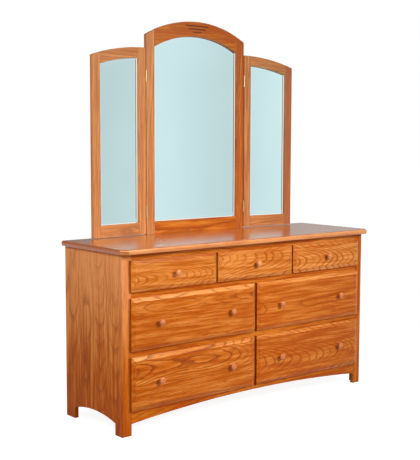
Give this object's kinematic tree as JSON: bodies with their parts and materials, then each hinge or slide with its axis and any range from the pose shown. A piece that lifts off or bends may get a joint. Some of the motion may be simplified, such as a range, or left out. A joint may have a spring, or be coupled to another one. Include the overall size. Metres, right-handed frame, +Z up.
{
  "type": "dresser",
  "caption": "Wide oak dresser with bevelled drawers, wooden knobs and arched lower edges, and a mirror with an arched crown and hinged side wings; stores clothes.",
  "frame": {"origin": "on the floor, under the middle of the bounding box", "axes": "+X to the right of a person facing the drawers, +Y to the back, +Z up"},
  "size_m": [1.648, 0.5426, 1.9659],
  "materials": {
    "case_oak": "glossy lacquer",
    "drawer_fronts": "satin lacquer",
    "mirror_frames": "satin lacquer",
    "drawer_boxes": "bare, sanded",
    "inner_frame": "bare",
    "panels": "bare plywood",
    "mirror_glass": "silvered, bevelled edge",
    "brass": "polished, lacquered"
  },
  "bodies": {
    "case": {"apron": "case_oak", "back_panel": "panels", "centre_hinge_leaves": "brass", "drawer_dividers": "case_oak", "drawer_runners": "inner_frame", "left_side": "case_oak", "left_stile": "case_oak", "middle_rail": "case_oak", "mirror_backing": "panels", "mirror_battens": "inner_frame", "mirror_bottom_rail": "mirror_frames", "mirror_crown_rail": "mirror_frames", "mirror_glass": "mirror_glass", "mirror_stiles": "mirror_frames", "rear_rails": "inner_frame", "right_side": "case_oak", "right_stile": "case_oak", "top_board": "case_oak", "top_cleats": "inner_frame", "top_rail": "case_oak", "upper_rail": "case_oak"},
    "upper_left_drawer": {"upper_left_bottom": "panels", "upper_left_front": "drawer_fronts", "upper_left_walls": "drawer_boxes"},
    "upper_centre_drawer": {"upper_centre_bottom": "panels", "upper_centre_front": "drawer_fronts", "upper_centre_walls": "drawer_boxes"},
    "upper_right_drawer": {"upper_right_bottom": "panels", "upper_right_front": "drawer_fronts", "upper_right_walls": "drawer_boxes"},
    "middle_left_drawer": {"middle_left_bottom": "panels", "middle_left_front": "drawer_fronts", "middle_left_walls": "drawer_boxes"},
    "middle_right_drawer": {"middle_right_bottom": "panels", "middle_right_front": "drawer_fronts", "middle_right_walls": "drawer_boxes"},
    "lower_left_drawer": {"lower_left_bottom": "panels", "lower_left_front": "drawer_fronts", "lower_left_walls": "drawer_boxes"},
    "lower_right_drawer": {"lower_right_bottom": "panels", "lower_right_front": "drawer_fronts", "lower_right_walls": "drawer_boxes"},
    "left_wing": {"left_wing_backing": "panels", "left_wing_glass": "mirror_glass", "left_wing_hinge_leaves": "brass", "left_wing_rails": "mirror_frames", "left_wing_stiles": "mirror_frames"},
    "right_wing": {"right_wing_backing": "panels", "right_wing_glass": "mirror_glass", "right_wing_hinge_leaves": "brass", "right_wing_rails": "mirror_frames", "right_wing_stiles": "mirror_frames"}
  },
  "joints": [
    {"name": "upper_left_slide", "type": "slide", "parent": "case", "child": "upper_left_drawer", "axis": [0, -1, 0], "range_m": [0, 0.34]},
    {"name": "upper_centre_slide", "type": "slide", "parent": "case", "child": "upper_centre_drawer", "axis": [0, -1, 0], "range_m": [0, 0.34]},
    {"name": "upper_right_slide", "type": "slide", "parent": "case", "child": "upper_right_drawer", "axis": [0, -1, 0], "range_m": [0, 0.34]},
    {"name": "middle_left_slide", "type": "slide", "parent": "case", "child": "middle_left_drawer", "axis": [0, -1, 0], "range_m": [0, 0.34]},
    {"name": "middle_right_slide", "type": "slide", "parent": "case", "child": "middle_right_drawer", "axis": [0, -1, 0], "range_m": [0, 0.34]},
    {"name": "lower_left_slide", "type": "slide", "parent": "case", "child": "lower_left_drawer", "axis": [0, -1, 0], "range_m": [0, 0.34]},
    {"name": "lower_right_slide", "type": "slide", "parent": "case", "child": "lower_right_drawer", "axis": [0, -1, 0], "range_m": [0, 0.34]},
    {"name": "left_wing_hinge", "type": "hinge", "parent": "case", "child": "left_wing", "pos_m": [-0.3325, 0.22885, 0.866], "axis": [0, 0, 1], "range_deg": [-5, 130]},
    {"name": "right_wing_hinge", "type": "hinge", "parent": "case", "child": "right_wing", "pos_m": [0.3325, 0.22885, 0.866], "axis": [0, 0, -1], "range_deg": [-5, 130]}
  ]
}
